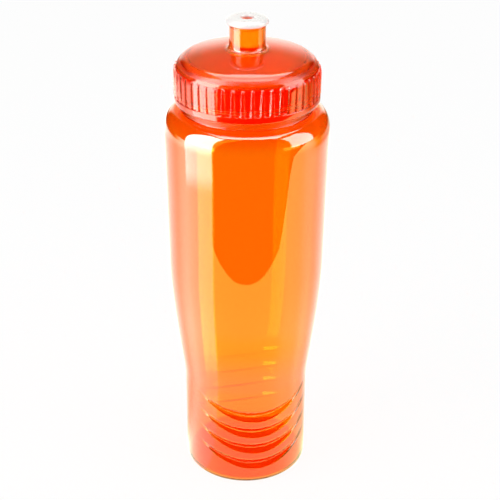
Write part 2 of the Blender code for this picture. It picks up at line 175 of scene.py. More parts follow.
# %% Arcs and lines
def arc(centre_radius, centre_z, across, up, first, last, steps, fullness=2.0):
    """Points of an arc between two angles in degrees. Above a fullness of 2 it swells beyond an ellipse."""
    points = []
    for i in range(steps + 1):
        a = math.radians(first + (last - first) * i / steps)
        c = math.copysign(abs(math.cos(a)) ** (2 / fullness), math.cos(a))
        s = math.copysign(abs(math.sin(a)) ** (2 / fullness), math.sin(a))
        points.append((centre_radius + across * c, centre_z + up * s))
    return points


def line(start, end, steps):
    """Points on a straight line, without its start."""
    return [
        (start[0] + (end[0] - start[0]) * i / steps, start[1] + (end[1] - start[1]) * i / steps)
        for i in range(1, steps + 1)
    ]


print("an arc in 4 steps has", len(arc(0.0, 0.0, MM, MM, 0, 90, 4)), "points")

# %% [markdown]
# ## The bottle's wall
#
# A blow-moulded bottle has one thin wall. From the base up it has a straight grip, a long soft taper and a
# barrel that opens by a millimetre up to the shoulder. A spline could follow it, but one rule gives the
# radius at any height. A hypotenuse rounds the bend between grip and taper, a handy way to blend two lines.

# %% Rule for the wall
GRIP_RADIUS = 32.6 * MM
WAIST_RADIUS = 40.0 * MM
BODY_RADIUS = 41.0 * MM
GRIP_TOP = 56.0 * MM
TAPER_TOP = 122.0 * MM
SHOULDER_BOTTOM = 194.0 * MM
TAPER_BEND = 1.65
GRIP_BLEND = 0.8 * MM


def body_radius(z):
    """The plain outer radius from the grip to the shoulder."""
    slope = (BODY_RADIUS - WAIST_RADIUS) / (SHOULDER_BOTTOM - TAPER_TOP)
    below = max(0.0, (TAPER_TOP - z) / (TAPER_TOP - GRIP_TOP))
    bend = WAIST_RADIUS - GRIP_RADIUS - slope * (TAPER_TOP - GRIP_TOP)
    plain = WAIST_RADIUS + slope * (z - TAPER_TOP) - bend * below**TAPER_BEND
    over = plain - GRIP_RADIUS
    return GRIP_RADIUS + (over + math.hypot(over, GRIP_BLEND)) / 2


print("radius at mid height:", round(body_radius(0.1) / MM, 2), "mm")

# %% [markdown]
# ## Finger grooves
#
# Four curved grooves are pressed into the front of the grip and four into the back, for wet fingers. Each
# one smiles: it climbs towards both sides, and gets narrow and shallow there. In section it has a short
# ledge below and a longer sloping face above. A sculpt brush could draw them, but a rule is even all round.
# The section is drawn with straight lines and averaged over a short stretch, which rounds its corners.

# %% Rule for the grooves
GROOVE_COUNT = 4
GROOVE_PITCH = 10.2 * MM
GROOVE_LOWEST_CREST = 9.2 * MM
GROOVE_WIDTH = 6.1 * MM
GROOVE_DEPTH = 2.0 * MM
GROOVE_RISE = 14.7 * MM
GROOVE_HALF_SPAN = math.radians(66)
GROOVE_TIP_SHARE = 0.25
GROOVE_ROUNDING = np.linspace(-0.05, 0.05, 9)
GROOVE_SECTION = ((0.0, 0.34, 0.46, 1.0), (0.0, 0.92, 1.0, 0.0))


def groove_depth(across):
    """Depth from 0 to 1 across a groove, which runs from 0 at its lower lip to 1 at its upper edge."""
    return float(np.interp(across + GROOVE_ROUNDING, *GROOVE_SECTION).mean())


def groove_run(angle):
    """How far a groove has faded, its width and its climb at an angle round the grip."""
    reach = min(abs(math.asin(math.cos(angle))) / GROOVE_HALF_SPAN, 1.0)
    fade = (1.0 - reach * reach) ** 2
    width = GROOVE_WIDTH * (fade + GROOVE_TIP_SHARE * (1.0 - fade))
    return fade, width, GROOVE_RISE * (1.0 - math.cos(reach * GROOVE_HALF_SPAN))


def groove_row(crest, across, wall):
    """A row that follows a groove round the grip."""
    depth = groove_depth(across) * GROOVE_DEPTH

    def shape(angle):
        fade, width, rise = groove_run(angle)
        z = crest + GROOVE_WIDTH + rise - width * (1.0 - across)
        return body_radius(z) - depth * fade - wall, z, angle

    flat_z = crest + GROOVE_WIDTH * across
    return body_radius(flat_z) - wall, flat_z, shape


def grip_rows(wall):
    """All the groove rows from the lowest up. They crowd where the section bends."""
    lip = np.linspace(-0.08, 0.08, 5)
    root = np.linspace(0.15, 0.52, 9)
    upper_face = np.linspace(0.6, 0.9, 4)
    upper_edge = np.linspace(0.94, 1.08, 5)
    stations = np.concatenate((lip, root, upper_face, upper_edge))
    crests = [GROOVE_LOWEST_CREST + i * GROOVE_PITCH for i in range(GROOVE_COUNT)]
    return [groove_row(crest, float(across), wall) for crest in crests for across in stations]


print("rows along the grooves:", len(grip_rows(0.0)))

# %% [markdown]
# ## The neck's thread
#
# The lid screws on with one right-hand thread of one and a quarter turns. A swept ridge could be joined to
# the neck. Here the neck gets close rows instead, which move out where the thread passes, so no seam shows.
# The lid uses the same rule inwards, a little lower, so that the two threads slide past each other.

# %% Rule for a thread
RIM_TOP = 223.9 * MM
THREAD_PITCH = 4.8 * MM
THREAD_SWEEP = math.tau * 1.25
THREAD_DEPTH = 1.3 * MM
THREAD_HALF_FOOT = 1.1 * MM
THREAD_FLANK = 0.6 * MM
THREAD_START = RIM_TOP - 10.1 * MM
THREAD_OFFSET = math.radians(3.75)
THREAD_RUN_OUT = math.radians(35)


def thread_height(angle, z, start):
    """Height of the thread from 0 to 1 at a point of the wall."""
    best = 0.0
    for turn in range(3):
        along = (angle - THREAD_OFFSET) % math.tau + math.tau * turn
        if along > THREAD_SWEEP:
            break
        off = abs(z - start - THREAD_PITCH * along / math.tau)
        flank = min(1.0, max(0.0, (THREAD_HALF_FOOT - off) / THREAD_FLANK))
        run_out = min(1.0, along / THREAD_RUN_OUT, (THREAD_SWEEP - along) / THREAD_RUN_OUT)
        best = max(best, flank * run_out)
    return best


def thread_row(radius, z, depth, start):
    def shape(angle):
        return radius + depth * thread_height(angle, z, start), z, angle

    return radius, z, shape


print("the thread climbs", round(THREAD_PITCH * THREAD_SWEEP / math.tau / MM, 1), "mm")

# %% [markdown]
# ## The whole section of the bottle
#
# The section starts under the base, at the small gate mark in the pushed-up middle, and runs out over the
# ring that the bottle stands on and up the outside to the top of the thread. A skin with a modifier for its
# thickness would need no inside, but the base, the neck and the body have walls of their own.

# %% Outside of the bottle
SHOULDER_TOP = 205.5 * MM
SHOULDER_HEIGHT = SHOULDER_TOP - SHOULDER_BOTTOM
SHOULDER_FULLNESS = 2.4
NECK_RADIUS = 31.9 * MM
NECK_FILLET = 1.2 * MM
BASE_ROUND = 2.5 * MM
BASE_PUSH_UP = 4.0 * MM
PUSH_UP_POWER = 2.6
BASE_LAND = 2.6 * MM
LAND_OUTER = GRIP_RADIUS - BASE_ROUND
LAND_INNER = LAND_OUTER - BASE_LAND
BASE_STEPS = [LAND_INNER * i / 12 for i in range(2, 13)]


def base_height(radius):
    return BASE_PUSH_UP * (1.0 - min(radius / LAND_INNER, 1.0) ** PUSH_UP_POWER)


def taper_points(wall):
    low = [GRIP_TOP + 0.6 * MM + i * 3.0 * MM for i in range(22)]
    high = [TAPER_TOP + (SHOULDER_BOTTOM - TAPER_TOP) * i / 9 for i in range(10)]
    return [(body_radius(z) - wall, z) for z in low + high]


def body_outside():
    gate = [(0.0, BASE_PUSH_UP - 0.25 * MM), (1.0 * MM, BASE_PUSH_UP - 0.2 * MM)]
    rows = gate + [(r, base_height(r)) for r in BASE_STEPS]
    rows += arc(LAND_OUTER, BASE_ROUND, BASE_ROUND, BASE_ROUND, -90, 0, 6)
    rows += [(body_radius(z), z) for z in (4.0 * MM, 6.0 * MM, 7.6 * MM)]
    return rows + grip_rows(0.0) + taper_points(0.0)


def neck_outside():
    foot = NECK_RADIUS + NECK_FILLET
    fillet_z = SHOULDER_TOP + NECK_FILLET
    reach = BODY_RADIUS - NECK_RADIUS - NECK_FILLET
    rows = arc(foot, SHOULDER_BOTTOM, reach, SHOULDER_HEIGHT, 0, 90, 18, SHOULDER_FULLNESS)[1:]
    rows += arc(foot, fillet_z, NECK_FILLET, NECK_FILLET, 270, 180, 4)[1:]
    thread_zs = np.arange(fillet_z + 0.5 * MM, RIM_TOP - 1.2 * MM, 0.28 * MM)
    return rows + [thread_row(NECK_RADIUS, float(z), THREAD_DEPTH, THREAD_START) for z in thread_zs]


rows = body_outside() + neck_outside()
print("the bottle's outside has", len(rows), "rows")

# %% [markdown]
# Over the rim the same line runs down the inside: a straight bore in the neck, then the body's curves, one
# wall further in. So the wall has real thickness, and light bends twice in it as it does in the real one.

# %% Rim and inside of the bottle
NECK_WALL = 1.9 * MM
NECK_BORE = NECK_RADIUS - NECK_WALL
BODY_WALL = 0.8 * MM
BASE_WALL = 1.2 * MM
RIM_ROUND = 0.5 * MM


def rim_and_bore():
    low = RIM_TOP - RIM_ROUND
    rows = arc(NECK_RADIUS - RIM_ROUND, low, RIM_ROUND, RIM_ROUND, 0, 90, 4)
    rows += arc(NECK_BORE + RIM_ROUND, low, RIM_ROUND, RIM_ROUND, 90, 180, 4)
    return rows + line((NECK_BORE, low), (NECK_BORE, SHOULDER_TOP), 5)


def body_inside():
    reach = BODY_RADIUS - BODY_WALL - NECK_BORE
    height = SHOULDER_HEIGHT - BODY_WALL
    rows = arc(NECK_BORE, SHOULDER_BOTTOM, reach, height, 90, 0, 16, SHOULDER_FULLNESS)[1:-1]
    rows += taper_points(BODY_WALL)[::-1] + grip_rows(BODY_WALL)[::-1]
    rows += [(body_radius(z) - BODY_WALL, z) for z in (7.6 * MM, 6.0 * MM)]
    inner_round = BASE_ROUND - BODY_WALL
    rows += arc(LAND_OUTER, BASE_ROUND + BASE_WALL, inner_round, BASE_ROUND, 0, -90, 5)
    rows += [(r, base_height(r) + BASE_WALL) for r in BASE_STEPS[::-1]]
    return rows + [(0.0, BASE_PUSH_UP + BASE_WALL)]


rows += rim_and_bore() + body_inside()
print("the bottle's whole section has", len(rows), "rows")

# %% [markdown]
# Now the section is drawn, spun and pressed. The real bottle is blown against a mould that holds the
# grooves and the thread. The number of columns is high, because light bends in every facet: a coarse clear
# bottle shows stripes, however smooth its shading is.

# %% Model the bottle
BOTTLE_COLUMNS = 192

bottle = draw_profile("squeeze_bottle", rows)
spin_all(BOTTLE_COLUMNS)
print("pressed", press_rows(bottle, rows), "points of the grooves and the thread")
finish_piece(bottle, "bottle", "bottle")

# %% [markdown]
# ## The sealing ring
#
# Under the lid a soft ring seals on the rim. It is a flat silicone washer with rounded edges. A flattened
# torus would come close, but turning a small rounded rectangle gives the flat faces that seal.

# %% Model the sealing ring
GASKET_BOTTOM = RIM_TOP + 0.3 * MM
GASKET_TOP = GASKET_BOTTOM + 1.6 * MM
GASKET_EDGE = 0.4 * MM
GASKET_COLUMNS = 128


def gasket_rows():
    inner, outer = NECK_BORE + GASKET_EDGE, NECK_RADIUS - GASKET_EDGE
    low, high = GASKET_BOTTOM + GASKET_EDGE, GASKET_TOP - GASKET_EDGE
    points = []
    for r, z, first in ((outer, low, -90), (outer, high, 0), (inner, high, 90), (inner, low, 180)):
        points += arc(r, z, GASKET_EDGE, GASKET_EDGE, first, first + 90, 4)
    return points + points[:1]


gasket = draw_profile("sealing_ring", gasket_rows())
spin_all(GASKET_COLUMNS)
finish_piece(gasket, "gasket", "lid_gasket")

# %% [markdown]
# ## The ribs of the lid
#
# Forty-eight ribs round the skirt give wet hands a hold. They are pointed and get narrower upwards. An
# array of ribs could be joined to a turned lid, but clear plastic shows such seams. So a slice of the lid
# is spun, one rib wide, the rib is pressed out of its wall, and the slice is copied round the axis. The
# slice's columns move to the rib's edges, because a rib that gets narrower would otherwise cut across the
# mesh in steps.

# %% Rule for a rib
LID_BORE = NECK_RADIUS + THREAD_DEPTH + 0.4 * MM
LID_RADIUS = LID_BORE + 1.6 * MM
LID_SEAT = GASKET_TOP + 0.3 * MM
LID_BOTTOM = LID_SEAT - 15.8 * MM
EDGE_BOTTOM = LID_SEAT - 2.3 * MM
EDGE_ACROSS = 7.5 * MM
EDGE_UP = 8.5 * MM
EDGE_CENTRE = LID_RADIUS - EDGE_ACROSS
RIB_COUNT = 48
RIB_BOTTOM = LID_BOTTOM + 3.4 * MM
RIB_LENGTH = 13.2 * MM
RIB_HEIGHT = 0.75 * MM
RIB_FOOT, RIB_CREST = 1.5 * MM, 0.75 * MM
RIB_TAPER = 0.45
LEAST_FOOT, LEAST_CREST = 0.4 * MM, 0.1 * MM
FLANK_PARTS = (0.0, 0.25, 0.5, 0.75, 1.0)
SLICE = math.tau / RIB_COUNT


def lid_wall(z):
    above = max(0.0, (z - EDGE_BOTTOM) / EDGE_UP)
    return EDGE_CENTRE + EDGE_ACROSS * math.sqrt(1.0 - above * above)


def rib_row(share):
    """A row of the skirt at a share of the rib's length. Its columns crowd onto the crest and flanks."""
    z = RIB_BOTTOM + RIB_LENGTH * share
    wall = lid_wall(z)
    narrowed = 1.0 - RIB_TAPER * share
    foot, crest = RIB_FOOT * narrowed, RIB_CREST * narrowed
    beyond = max(0.0, foot - RIB_LENGTH * (1.0 - share))
    foot_here = max(LEAST_FOOT, math.sqrt(max(0.0, foot**2 - beyond**2)))
    crest_here = max(LEAST_CREST, math.sqrt(max(0.0, crest**2 - beyond**2)))
    half = SLICE / 2 * LID_RADIUS
    flank = [crest_here + (foot_here - crest_here) * part for part in FLANK_PARTS]
    columns = (0.0, *flank, (foot_here + half) / 2, half)
    last = len(columns) - 1

    def shape(angle):
        across = angle / (SLICE / 2)
        spread = float(np.interp(abs(across) * last, range(last + 1), columns))
        up = min(1.0, max(0.0, (foot - math.hypot(spread, beyond)) / (foot - crest)))
        height = RIB_HEIGHT * up * up * (3.0 - 2.0 * up)
        return wall + height, z, math.copysign(spread / LID_RADIUS, across)

    return wall, z, shape


print("lid is", round(2 * (LID_RADIUS + RIB_HEIGHT) / MM, 1), "mm across its ribs")

# %% [markdown]
# ## The lid's outside
#
# The lid's section runs up the bead and the ribs, over the rounded edge and the low dome, and up the spout
# tower to its lip. A dome could be a slice of a sphere, but this one gets flatter towards the tower, so its
# height follows a parabola that has a slope of its own at either end.

# %% Outside of the lid
DOME_WALL = 1.8 * MM
TOWER_RADIUS = 8.8 * MM
TOWER_FILLET = 1.9 * MM
TOWER_FOOT = TOWER_RADIUS + TOWER_FILLET
TOWER_TIP = 0.35 * MM
LID_CHAMFER = 0.3 * MM
BEAD_ROUND = 0.6 * MM
BEAD_RADIUS = LID_RADIUS + 0.6 * MM
EDGE_SWEEP = 76
DOME_RIM_RADIUS, DOME_RIM = arc(EDGE_CENTRE, EDGE_BOTTOM, EDGE_ACROSS, EDGE_UP, 0, EDGE_SWEEP, 1)[-1]
DOME_SPAN = DOME_RIM_RADIUS - TOWER_FOOT
DOME_RIM_SLOPE, DOME_FOOT_SLOPE = 0.29, 0.11
DOME_FOOT_TILT = math.degrees(math.atan(DOME_FOOT_SLOPE))


def dome_height(radius):
    """Height of the dome's upper side, which gets flatter from its rim to the tower."""
    inward = (DOME_RIM_RADIUS - radius) / DOME_SPAN
    flatter = (DOME_RIM_SLOPE - DOME_FOOT_SLOPE) / 2 * inward**2
    return DOME_RIM + DOME_SPAN * (DOME_RIM_SLOPE * inward - flatter)


DOME_TOP = dome_height(TOWER_FOOT)
TOWER_TOP = DOME_TOP + 11.8 * MM


def skirt_rows():
    rows = [(LID_BORE, LID_BOTTOM + LID_CHAMFER), (LID_BORE + LID_CHAMFER, LID_BOTTOM)]
    bead_centre = BEAD_RADIUS - BEAD_ROUND
    rows += arc(bead_centre, LID_BOTTOM + BEAD_ROUND, BEAD_ROUND, BEAD_ROUND, -90, 0, 4)
    rows += arc(bead_centre, RIB_BOTTOM - BEAD_ROUND, BEAD_ROUND, BEAD_ROUND, 0, 80, 4)
    rib_shares = np.concatenate((np.linspace(0.01, 0.88, 10), np.linspace(0.91, 0.998, 9)))
    rows += [rib_row(float(share)) for share in rib_shares]
    rib_end = math.degrees(math.asin((RIB_BOTTOM + RIB_LENGTH - EDGE_BOTTOM) / EDGE_UP))
    edge = arc(EDGE_CENTRE, EDGE_BOTTOM, EDGE_ACROSS, EDGE_UP, rib_end, EDGE_SWEEP, 12)
    return rows + edge[1:]


def dome_and_tower_rows():
    fillet_start = TOWER_FOOT - TOWER_FILLET * math.sin(math.radians(DOME_FOOT_TILT))
    dome = np.linspace(DOME_RIM_RADIUS, fillet_start, 14)[1:-1]
    rows = [(float(r), dome_height(float(r))) for r in dome]
    fillet_z = dome_height(fillet_start) + TOWER_FILLET * math.cos(math.radians(DOME_FOOT_TILT))
    rows += arc(TOWER_FOOT, fillet_z, TOWER_FILLET, TOWER_FILLET, 270 - DOME_FOOT_TILT, 180, 6)
    rows += line((TOWER_RADIUS, fillet_z), (TOWER_RADIUS, TOWER_TOP - 2 * TOWER_TIP), 4)
    tip = arc(TOWER_RADIUS - TOWER_TIP, TOWER_TOP - TOWER_TIP, TOWER_TIP, TOWER_TIP, 0, 90, 4)
    return rows + tip


rows = skirt_rows() + dome_and_tower_rows()
print("the lid's outside has", len(rows), "rows, its tower ends at", round(TOWER_TOP / MM, 1), "mm")

# %% [markdown]
# ## The lid's inside
#
# From the tower's lip the section goes down the bore, round the collar that carries the valve pin, along
# the underside, down and up the fin that centres the lid in the neck, and down the inside wall with its
# thread. An insert would be easier to draw, but one moulding has no hidden faces to shine through.

# %% Inside of the lid
TOWER_BORE = 7.4 * MM
TOWER_LIP = 0.6 * MM
LIP_HEIGHT = 1.2 * MM
LIP_SLOPE = 0.3 * MM
CORNER = 0.8 * MM
COLLAR_BOTTOM = DOME_TOP - DOME_WALL - 2.6 * MM
FIN_OUTER = NECK_BORE - 0.4 * MM
FIN_INNER = FIN_OUTER - 0.8 * MM
FIN_ROUND = 0.4 * MM
FIN_LENGTH = 3.6 * MM
SEAT_EDGE = LID_BORE - 1.3 * MM
LID_THREAD_START = THREAD_START - 2.0 * MM


def bore_and_collar_rows():
    lip = TOWER_BORE - TOWER_LIP
    rows = arc(lip + TOWER_TIP, TOWER_TOP - TOWER_TIP, TOWER_TIP, TOWER_TIP, 90, 180, 4)
    lip_bottom = TOWER_TOP - LIP_HEIGHT
    rows += [(lip, lip_bottom + LIP_SLOPE), (TOWER_BORE, lip_bottom - LIP_SLOPE)]
    rows += line((TOWER_BORE, lip_bottom - LIP_SLOPE), (TOWER_BORE, COLLAR_BOTTOM), 4)
    corner_z = DOME_TOP - DOME_WALL - CORNER
    rows += [(TOWER_RADIUS, COLLAR_BOTTOM), (TOWER_RADIUS, corner_z)]
    return rows + arc(TOWER_RADIUS + CORNER, corner_z, CORNER, CORNER, 150, 105, 2)


def underside_and_fin_rows():
    under = np.linspace(TOWER_FOOT, FIN_INNER - CORNER, 7)
    rows = [(float(r), dome_height(float(r)) - DOME_WALL) for r in under]
    fin_top = dome_height(FIN_INNER - CORNER) - DOME_WALL - CORNER
    round_z = LID_SEAT - FIN_LENGTH + FIN_ROUND
    rows += [(FIN_INNER, fin_top)] + line((FIN_INNER, fin_top), (FIN_INNER, round_z), 3)
    return rows + arc((FIN_INNER + FIN_OUTER) / 2, round_z, FIN_ROUND, FIN_ROUND, 180, 360, 6)


def seat_and_thread_rows():
    rows = [(FIN_OUTER, LID_SEAT), (SEAT_EDGE, LID_SEAT)]
    rows += line((SEAT_EDGE, LID_SEAT), (LID_BORE, LID_SEAT - 2.05 * MM), 3)
    thread_zs = np.arange(LID_SEAT - 2.6 * MM, LID_BOTTOM + 0.4 * MM, -0.5 * MM)
    return rows + [thread_row(LID_BORE, float(z), -THREAD_DEPTH, LID_THREAD_START) for z in thread_zs]


rows += bore_and_collar_rows() + underside_and_fin_rows() + seat_and_thread_rows()
rows += rows[:1]
print("the lid's whole section has", len(rows), "rows")

# %% [markdown]
# Now the slice is spun, its rib is pressed out, and the slice is copied to all the other ribs. The thread
# isn't the same in every slice, so it waits until the slices are one piece and is pressed in then.

# %% Model the lid
SLICE_STEPS = 14


def in_turn(rows, wanted):
    """The rows with only those shapes kept whose radius is wanted."""
    return [(r, z, *(shape if wanted(r) else ())) for r, z, *shape in rows]


lid = draw_profile("ribbed_lid", rows, -SLICE / 2)
spin_all(SLICE_STEPS, -SLICE)
print("pressed", press_rows(lid, in_turn(rows, lambda r: r > LID_BORE + MM)), "points of one rib")
bpy.ops.object.mode_set(mode="EDIT")
spin_all(RIB_COUNT - 1, SLICE * (RIB_COUNT - 1), copies=True)
print("pressed", press_rows(lid, in_turn(rows, lambda r: r < LID_BORE + MM)), "points of the lid's thread")

# %% [markdown]
# ## The valve pin
#
# When the nozzle is pushed down, its hole closes on a pin that stands in the tower on four spokes, with
# room for water between them. The pin is turned, the spokes are stretched cubes, and a boolean union makes
# them one moulding with the lid. Pieces that only overlapped would show their hidden faces.

# %% Model the valve pin and join it to the lid
NOZZLE_BOTTOM = TOWER_TOP + 0.3 * MM
NOZZLE_TOP = NOZZLE_BOTTOM + 3.0 * MM
HOLE_RADIUS = 3.2 * MM
PIN_RADIUS = 3.4 * MM
PIN_TIP_RADIUS = HOLE_RADIUS - 0.3 * MM
PIN_ROUND = 0.7 * MM
PIN_COLUMNS = 48
SPOKE_Z = COLLAR_BOTTOM + 1.4 * MM
SPOKE_SIZE = (2 * (TOWER_BORE + 0.7 * MM), 1.6 * MM, 2.2 * MM)


def pin_rows():
    tip = NOZZLE_TOP - 0.8 * MM
    shank_top = NOZZLE_BOTTOM - 1.3 * MM
    foot = COLLAR_BOTTOM + 0.7 * MM
    points = [(0.0, COLLAR_BOTTOM), (PIN_RADIUS * 0.7, COLLAR_BOTTOM + 0.2 * MM), (PIN_RADIUS, foot)]
    points += line((PIN_RADIUS, foot), (PIN_RADIUS, shank_top), 3)
    points += line((PIN_RADIUS, shank_top), (PIN_TIP_RADIUS, NOZZLE_BOTTOM - 0.3 * MM), 3)
    points += arc(PIN_TIP_RADIUS - PIN_ROUND, tip - PIN_ROUND, PIN_ROUND, PIN_ROUND, 0, 90, 5)
    return points + [(0.0, tip)]


def join_solid(piece, tool):
    """A boolean union, applied, after which the tool is gone."""
    choose(piece)
    bpy.ops.object.modifier_add(type="BOOLEAN")
    union = piece.modifiers[-1]
    union.operation = "UNION"
    union.solver = "EXACT"
    union.object = tool
    bpy.ops.object.modifier_apply(modifier=union.name)
    bpy.data.objects.remove(tool)


pin = draw_profile("valve_pin", pin_rows())
spin_all(PIN_COLUMNS)
for quarter in range(2):
    choose(pin)
    bpy.ops.mesh.primitive_cube_add(size=1.0, location=(0.0, 0.0, SPOKE_Z))
    spokes = bpy.context.object
    spokes.scale = SPOKE_SIZE
    spokes.rotation_euler.z = math.pi / 4 + quarter * math.pi / 2
    bpy.ops.object.transform_apply(location=True, rotation=True, scale=True)
    join_solid(pin, spokes)
join_solid(lid, pin)
print("lid and valve pin are one mesh of", len(lid.data.polygons), "faces")

# %% [markdown]
# ## Marks on the lid
#
# The lid is polished outside and matt inside. The ribs' flanks and the tower's fillet are curved so tightly
# that they always catch some light. Weights could be painted for both, but rules are exact. They go onto
# the points as attributes, which the lid's material reads.

# %% Mark the lid's surfaces
SKIN_GAP = 0.5 * MM


def mark(piece, name, rule):
    """A point attribute whose value a rule gives from the distance to the axis and the height."""
    values = [rule(math.hypot(vertex.co.x, vertex.co.y), vertex.co.z) for vertex in piece.data.vertices]
    piece.data.attributes.new(name, "FLOAT", "POINT").data.foreach_set("value", values)
    print(name, "marks", sum(value > 0.5 for value in values), "of", len(values), "points")


def inside_lid(radius, z):
    """1 on the lid's inner side, where the mould isn't polished."""
    skirt = radius > LID_BORE + SKIN_GAP
    dome = TOWER_FOOT < radius and z > dome_height(radius) - DOME_WALL / 2 and z > LID_SEAT + MM
    tower = TOWER_BORE + SKIN_GAP < radius <= TOWER_FOOT and z > DOME_TOP - SKIN_GAP
    return 0.0 if skirt or dome or tower else 1.0


def catches_light(radius, z):
    """1 half-way up the flanks of the ribs and in the fillet of the tower."""
    up = 0.0
    if radius > LID_BORE + MM and RIB_BOTTOM < z < RIB_BOTTOM + RIB_LENGTH:
        up = (radius - lid_wall(z)) / RIB_HEIGHT
    elif TOWER_RADIUS < radius < TOWER_FOOT and z > DOME_TOP - SKIN_GAP:
        up = (TOWER_FOOT - radius) / TOWER_FILLET
    return max(0.0, 4.0 * up * (1.0 - up))


mark(lid, "inside", inside_lid)
mark(lid, "catches_light", catches_light)
finish_piece(lid, "lid", "screw_lid", smooth=30)

# %% [markdown]
# ## The push-pull nozzle
#
# The white mouthpiece is a soft moulding: a wide flange that lips and teeth can grip, a hollow stem inside
# the tower, and a small bead at the stem's foot that keeps it from coming out. A cylinder with bevels could
# stand in for it, but when the nozzle is pulled out the stem shows, so the whole section is turned.

# %% Model the nozzle
STEM_RADIUS = TOWER_BORE - TOWER_LIP - 0.3 * MM
STEM_BORE = STEM_RADIUS - 1.5 * MM
STEM_BEAD = STEM_RADIUS + 0.55 * MM
STEM_BEAD_TOP = TOWER_TOP - LIP_HEIGHT - 7.3 * MM
STEM_FOOT = STEM_BEAD_TOP - 1.5 * MM
HEAD_RADIUS = 10.3 * MM
HEAD_FLAT = 7.2 * MM
HEAD_UNDER = 0.9 * MM
HEAD_FULLNESS = 2.2
HOLE_LIP = 0.45 * MM
NOZZLE_COLUMNS = 96


def stem_points():
    points = [(STEM_BORE + 0.3 * MM, STEM_FOOT), (STEM_RADIUS - 0.3 * MM, STEM_FOOT)]
    points += [(STEM_RADIUS + 0.1 * MM, STEM_FOOT + 0.3 * MM), (STEM_BEAD, STEM_FOOT + 0.9 * MM)]
    points += [(STEM_BEAD, STEM_BEAD_TOP), (STEM_RADIUS, STEM_BEAD_TOP + 0.2 * MM)]
    points += line((STEM_RADIUS, STEM_BEAD_TOP + 0.2 * MM), (STEM_RADIUS, NOZZLE_BOTTOM - 0.1 * MM), 4)
    return points + [(STEM_RADIUS + 0.2 * MM, NOZZLE_BOTTOM)]


def head_points():
    low = NOZZLE_BOTTOM + HEAD_UNDER
    points = arc(HEAD_RADIUS - HEAD_UNDER, low, HEAD_UNDER, HEAD_UNDER, -90, 0, 5)
    reach = HEAD_RADIUS - HEAD_FLAT
    points += arc(HEAD_FLAT, low + 0.1 * MM, reach, 2.0 * MM, 0, 90, 12, HEAD_FULLNESS)[1:]
    return points + arc(HOLE_RADIUS + HOLE_LIP, NOZZLE_TOP - HOLE_LIP, HOLE_LIP, HOLE_LIP, 90, 180, 5)


def hole_points():
    points = [(HOLE_RADIUS, NOZZLE_BOTTOM + 0.9 * MM), (HOLE_RADIUS, NOZZLE_BOTTOM + 0.4 * MM)]
    points += [(HOLE_RADIUS + 0.15 * MM, NOZZLE_BOTTOM + 0.25 * MM), (STEM_BORE, NOZZLE_BOTTOM - 0.25 * MM)]
    return points + line((STEM_BORE, NOZZLE_BOTTOM - 0.25 * MM), (STEM_BORE, STEM_FOOT + 0.3 * MM), 4)


points = stem_points() + head_points() + hole_points()
nozzle = draw_profile("pull_nozzle", points + points[:1])
spin_all(NOZZLE_COLUMNS)
finish_piece(nozzle, "nozzle", "push_pull_nozzle")

# %% [markdown]
# ## Working with nodes
#
# The looks are drawn with many small maths nodes. Setting up each by hand takes four or five lines, in
# which the sense would drown. So a short class does the wiring, and soft steps, bands and mixes read like
# arithmetic.

# %% Helpers for nodes
class Nodes:
    """The nodes of one tree."""

    def __init__(self, tree):
        self.tree = tree

    def plug(self, node, inputs):
        """Gives each input its value, or links it to the output of another node."""
        for name, value in inputs.items():
            if isinstance(value, bpy.types.NodeSocket):
                self.tree.links.new(value, node.inputs[name])
            else:
                node.inputs[name].default_value = value

    def add(self, kind, inputs=None, **settings):
        node = self.tree.nodes.new(kind)
        for name, value in settings.items():
            setattr(node, name, value)
        self.plug(node, inputs or {})
        return node

    def calc(self, operation, *values):
        return self.add("ShaderNodeMath", dict(enumerate(values)), operation=operation).outputs["Value"]

    def times(self, *values):
        result = values[0]
        for value in values[1:]:
            result = self.calc("MULTIPLY", result, value)
        return result

    def mix(self, share, first, second):
        rest = self.calc("SUBTRACT", 1.0, share)
        return self.calc("ADD", self.times(first, rest), self.times(second, share))

    def length(self, x, y):
        return self.calc("SQRT", self.calc("ADD", self.times(x, x), self.times(y, y)))

    def step(self, value, start, end):
        """A soft step from 0 at start to 1 at end. With start above end it steps down."""
        inputs = {"Value": value, "From Min": start, "From Max": end}
        return self.add("ShaderNodeMapRange", inputs, interpolation_type="SMOOTHSTEP").outputs["Result"]

    def band(self, value, low, high, soft):
        rise = self.step(value, low - soft, low + soft)
        return self.times(rise, self.step(value, high + soft, high - soft))

    def words(self):
        """The helpers that stand most often in a sum."""
        return self.calc, self.times, self.mix, self.step, self.band

    def blend_colours(self, share, first, second):
        inputs = {"Factor": share, "A": first, "B": second}
        return self.add("ShaderNodeMix", inputs, data_type="RGBA").outputs["Result"]


print("node helpers:", [name for name in vars(Nodes) if not name.startswith("_")])

# %% [markdown]
# ## Moulded plastic
#
# Even polished plastic isn't perfectly even. It keeps a faint waviness where it cooled, and a fine haze of
# rubbing from hands and dishwashers. Both are shared by all the pieces, so they live in one node group that
# gives a height and a roughness. The shaders stay in the materials.

# %% Node group for moulded plastic
SKIN_INPUTS = {"Wave Scale": 45.0, "Rub Scale": 900.0, "Smooth": 0.03, "Rubbed": 0.1}

moulded_skin = bpy.data.node_groups.new("moulded_skin", "ShaderNodeTree")
for name, default in SKIN_INPUTS.items():
    socket = moulded_skin.interface.new_socket(name, in_out="INPUT", socket_type="NodeSocketFloat")
    socket.default_value = default
for name in ("Height", "Roughness"):
    moulded_skin.interface.new_socket(name, in_out="OUTPUT", socket_type="NodeSocketFloat")
nodes = Nodes(moulded_skin)
given = nodes.add("NodeGroupInput").outputs
place = nodes.add("ShaderNodeTexCoord").outputs["Object"]


def noise(scale, detail):
    inputs = {"Vector": place, "Scale": scale, "Detail": detail}
    return nodes.add("ShaderNodeTexNoise", inputs).outputs["Fac"]


